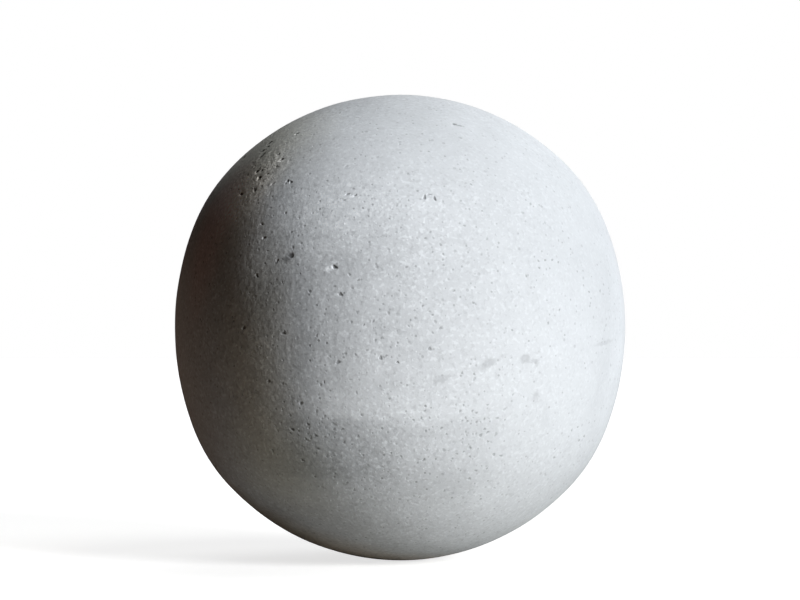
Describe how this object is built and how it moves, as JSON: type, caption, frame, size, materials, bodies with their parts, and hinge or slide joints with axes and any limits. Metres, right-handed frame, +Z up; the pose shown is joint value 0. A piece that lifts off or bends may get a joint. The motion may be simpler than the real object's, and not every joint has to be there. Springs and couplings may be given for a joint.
{
  "type": "concrete ball",
  "caption": "Plain cast concrete ball, slightly narrower round its middle, with small blowholes in its surface; used as a weight, a bookend or an ornament.",
  "frame": {"origin": "centre of the ball, midway between its poles and on its axis", "axes": "+Z up through the poles, the longest way across; -Y to the front, the side with the larger blowholes; +X to the right seen from the front"},
  "size_m": [0.1936, 0.1936, 0.2],
  "materials": {
    "concrete": "matte"
  },
  "bodies": {
    "root": {"ball": "concrete"}
  },
  "joints": []
}
